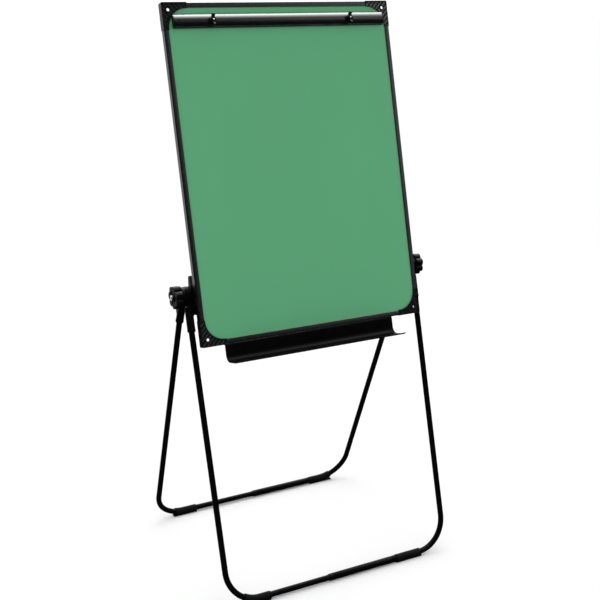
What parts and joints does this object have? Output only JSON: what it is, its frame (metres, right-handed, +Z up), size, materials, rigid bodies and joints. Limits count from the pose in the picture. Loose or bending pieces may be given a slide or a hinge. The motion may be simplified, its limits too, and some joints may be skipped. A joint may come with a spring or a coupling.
{
  "type": "folding U-stand display easel",
  "caption": "Folding easel: green writing board in a black frame with a flip-chart clamp and pen tray, hinged on two black U-shaped tube legs.",
  "frame": {"origin": "on the floor under the middle of the stand's footprint", "axes": "+X to the right of a person writing on the board, -Y towards that person, +Z up"},
  "size_m": [0.804, 0.6058, 1.5951],
  "materials": {
    "black_aluminium": "satin black anodised",
    "black_plastic": "fine-grained black moulding",
    "black_painted_steel": "gloss black powder coat",
    "green_writing_steel": "matt green writing enamel",
    "grey_back_sheet": "galvanised",
    "fibreboard": "raw fibreboard",
    "zinc_plated_steel": "bright zinc",
    "black_nylon": "moulded nylon",
    "black_rubber": "matt rubber"
  },
  "bodies": {
    "stand": {"front_coupler": "black_painted_steel", "front_foot_left": "black_rubber", "front_foot_right": "black_rubber", "front_leg_left": "black_painted_steel", "front_leg_right": "black_painted_steel", "front_socket_left": "black_plastic", "front_socket_right": "black_plastic", "front_socket_screw_left": "black_painted_steel", "front_socket_screw_right": "black_painted_steel"},
    "rear_frame": {"rear_coupler": "black_painted_steel", "rear_foot_left": "black_rubber", "rear_foot_right": "black_rubber", "rear_leg_left": "black_painted_steel", "rear_leg_right": "black_painted_steel", "rear_socket_left": "black_plastic", "rear_socket_right": "black_plastic", "rear_socket_screw_left": "black_painted_steel", "rear_socket_screw_right": "black_painted_steel"},
    "board": {"back_sheet": "grey_back_sheet", "board_bracket_left": "black_painted_steel", "board_bracket_right": "black_painted_steel", "board_core": "fibreboard", "board_washer_left": "black_nylon", "board_washer_right": "black_nylon", "bracket_screw_left_1": "zinc_plated_steel", "bracket_screw_left_2": "zinc_plated_steel", "bracket_screw_right_1": "zinc_plated_steel", "bracket_screw_right_2": "zinc_plated_steel", "corner_bottom_left": "black_plastic", "corner_bottom_right": "black_plastic", "corner_top_left": "black_plastic", "corner_top_right": "black_plastic", "frame_bottom": "black_aluminium", "frame_left": "black_aluminium", "frame_right": "black_aluminium", "frame_top": "black_aluminium", "hinge_bolt_left": "zinc_plated_steel", "hinge_bolt_right": "zinc_plated_steel", "knob_washer_left": "zinc_plated_steel", "knob_washer_right": "zinc_plated_steel", "leg_washer_left": "black_nylon", "leg_washer_right": "black_nylon", "peg_stud_left": "zinc_plated_steel", "peg_stud_right": "zinc_plated_steel", "pen_tray": "black_painted_steel", "tray_screw_1": "zinc_plated_steel", "tray_screw_2": "zinc_plated_steel", "tray_screw_3": "zinc_plated_steel", "writing_sheet": "green_writing_steel"},
    "clamp": {"clamp_bar": "black_aluminium", "clamp_end_left": "black_plastic", "clamp_end_right": "black_plastic"},
    "thumb_nut_left": {"thumb_nut_left": "black_plastic"},
    "thumb_nut_right": {"thumb_nut_right": "black_plastic"},
    "knob_left": {"knob_left": "black_plastic", "knob_nut_left": "zinc_plated_steel"},
    "knob_right": {"knob_right": "black_plastic", "knob_nut_right": "zinc_plated_steel"}
  },
  "joints": [
    {"name": "rear_leg_fold", "type": "hinge", "parent": "stand", "child": "rear_frame", "pos_m": [0, -0.05067, 0.8305], "axis": [-1, 0, 0], "range_deg": [0, 37.1]},
    {"name": "board_tilt", "type": "hinge", "parent": "stand", "child": "board", "pos_m": [0, -0.05067, 0.8305], "axis": [-1, 0, 0], "range_deg": [-13.8, 46.2]},
    {"name": "clamp_lift", "type": "slide", "parent": "board", "child": "clamp", "axis": [0, -0.9711, 0.2385], "range_m": [0, 0.008]},
    {"name": "thumb_nut_left_turn", "type": "hinge", "parent": "clamp", "child": "thumb_nut_left", "pos_m": [-0.215, 0.05156, 1.54937], "axis": [0, -0.9711, 0.2385], "continuous": true},
    {"name": "thumb_nut_right_turn", "type": "hinge", "parent": "clamp", "child": "thumb_nut_right", "pos_m": [0.2095, 0.05156, 1.54937], "axis": [0, -0.9711, 0.2385], "continuous": true},
    {"name": "knob_left_turn", "type": "hinge", "parent": "board", "child": "knob_left", "pos_m": [-0.389, -0.05067, 0.8305], "axis": [-1, 0, 0], "continuous": true},
    {"name": "knob_right_turn", "type": "hinge", "parent": "board", "child": "knob_right", "pos_m": [0.389, -0.05067, 0.8305], "axis": [1, 0, 0], "continuous": true}
  ]
}
